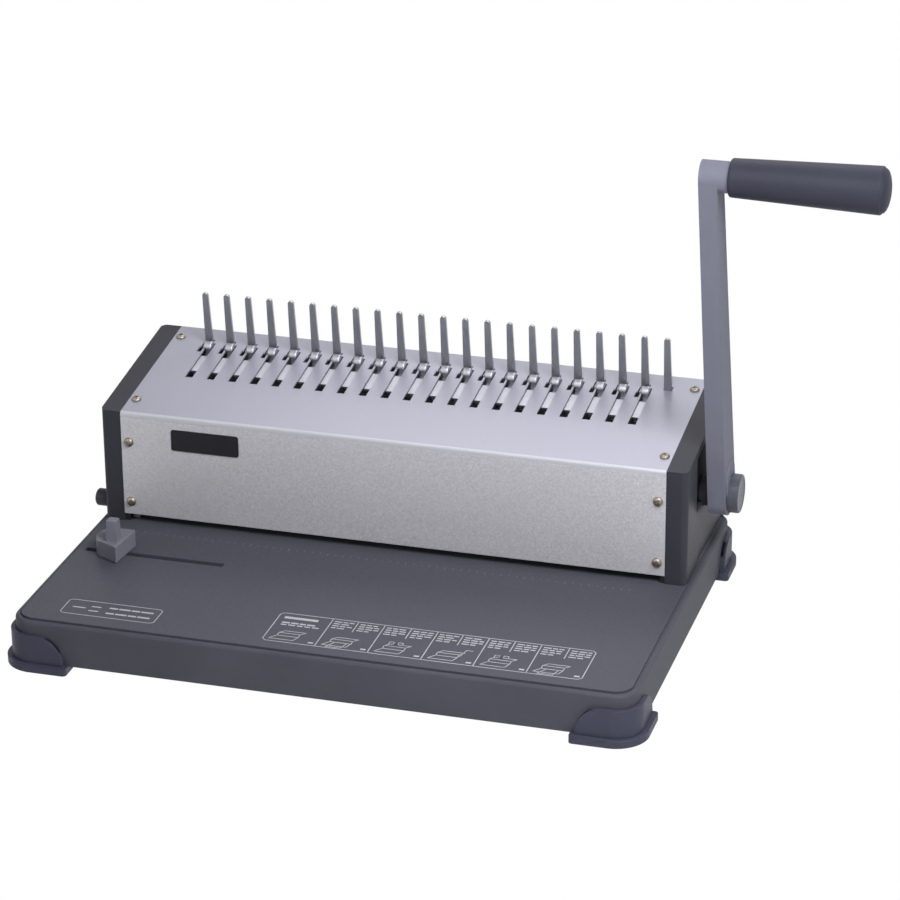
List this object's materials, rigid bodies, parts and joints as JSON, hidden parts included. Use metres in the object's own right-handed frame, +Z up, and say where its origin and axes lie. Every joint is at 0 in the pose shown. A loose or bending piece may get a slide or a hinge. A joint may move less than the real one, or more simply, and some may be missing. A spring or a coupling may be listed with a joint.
{
  "type": "comb binding machine",
  "caption": "Manual comb binding machine: a flat base, a sloped body with upright comb fingers and ring hooks, and one long side handle.",
  "frame": {"origin": "middle of the whole object's box at rest, on the table under the feet", "axes": "+X along the row of fingers towards the handle, +Y from the front to the back, +Z up"},
  "size_m": [0.4954, 0.2742, 0.3063],
  "materials": {
    "base_grey": "satin moulded grey",
    "deck_grey": "fine powder coat",
    "plate_steel": "zinc plated sheet",
    "foot_plastic": "slate blue, glossy",
    "cap_plastic": "dark grey, fine grain",
    "cover_silver": "smooth satin silver",
    "panel_silver": "grained silver",
    "screw_bronze": "bronze plated",
    "zinc_steel": "zinc plated",
    "bush_brass": "sintered bronze",
    "tool_steel": "ground",
    "spring_steel": "drawn wire",
    "comb_steel": "nickel plated, satin",
    "hook_steel": "nickel plated",
    "arm_grey": "smooth grey enamel",
    "grip_plastic": "dark grey, satin",
    "guide_plastic": "grey, satin",
    "drawer_plastic": "dark grey"
  },
  "bodies": {
    "base": {"base_tray": "base_grey", "deck_plate": "deck_grey", "bottom_plate": "plate_steel", "foot_front_left": "foot_plastic", "foot_front_right": "foot_plastic", "foot_rear_left": "foot_plastic", "foot_rear_right": "foot_plastic", "foot_screws": "zinc_steel", "left_side_frame": "plate_steel", "right_side_frame": "plate_steel", "left_end_cap": "cap_plastic", "right_end_cap": "cap_plastic", "top_cover": "cover_silver", "front_panel": "panel_silver", "rear_panel": "panel_silver", "cover_screws": "screw_bronze", "tie_rods": "zinc_steel", "tie_screws": "zinc_steel", "cap_screws": "zinc_steel", "base_screws": "zinc_steel", "left_shaft_bush": "bush_brass", "right_shaft_bush": "bush_brass", "die_plate": "tool_steel", "punch_guide_plate": "tool_steel", "punch_posts": "zinc_steel", "return_springs": "spring_steel", "comb_plate": "comb_steel", "rake_rods": "zinc_steel", "rake_rod_brackets": "plate_steel", "drawer_runners": "plate_steel"},
    "handle": {"main_shaft": "zinc_steel", "shaft_collars": "tool_steel", "punch_cams": "tool_steel", "rake_cranks": "tool_steel", "shaft_spacer": "arm_grey", "handle_arm": "arm_grey", "handle_rod": "arm_grey", "handle_grip": "grip_plastic", "hub_cap": "arm_grey"},
    "punch": {"punch_bar": "tool_steel", "punch_pins": "tool_steel"},
    "rake": {"rake_bar": "tool_steel", "ring_hooks": "hook_steel"},
    "knob": {"margin_knob": "cap_plastic", "margin_spindle": "zinc_steel"},
    "stop": {"depth_stop": "tool_steel"},
    "guide": {"edge_guide": "guide_plastic", "edge_guide_clip": "zinc_steel"},
    "drawer": {"chip_drawer": "drawer_plastic"}
  },
  "joints": [
    {"name": "handle_turn", "type": "hinge", "parent": "base", "child": "handle", "pos_m": [-0.0516, 0.0684, 0.0725], "axis": [1, 0, 0], "range_deg": [0, 75]},
    {"name": "punch_press", "type": "slide", "parent": "base", "child": "punch", "axis": [0, 0, -1], "range_m": [0, 0.00854], "deforming": ["return_springs"]},
    {"name": "rake_slide", "type": "slide", "parent": "base", "child": "rake", "axis": [0, -0.9913, -0.1313], "range_m": [0, 0.024]},
    {"name": "knob_turn", "type": "hinge", "parent": "base", "child": "knob", "pos_m": [-0.0516, 0.0284, 0.04], "axis": [1, 0, 0], "range_deg": [0, 120.2]},
    {"name": "depth_slide", "type": "slide", "parent": "base", "child": "stop", "axis": [0, 1, 0], "range_m": [0, 0.00433]},
    {"name": "guide_slide", "type": "slide", "parent": "base", "child": "guide", "axis": [1, 0, 0], "range_m": [0, 0.06]},
    {"name": "drawer_slide", "type": "slide", "parent": "base", "child": "drawer", "axis": [-1, 0, 0], "range_m": [0, 0.15]}
  ],
  "couplings": [
    {"joint": "punch_press", "follows": "handle_turn", "m_per_rad": 0.0065108},
    {"joint": "rake_slide", "follows": "handle_turn", "m_per_rad": 0.018323},
    {"joint": "knob_turn", "follows": "depth_slide", "rad_per_m": 483.68}
  ]
}
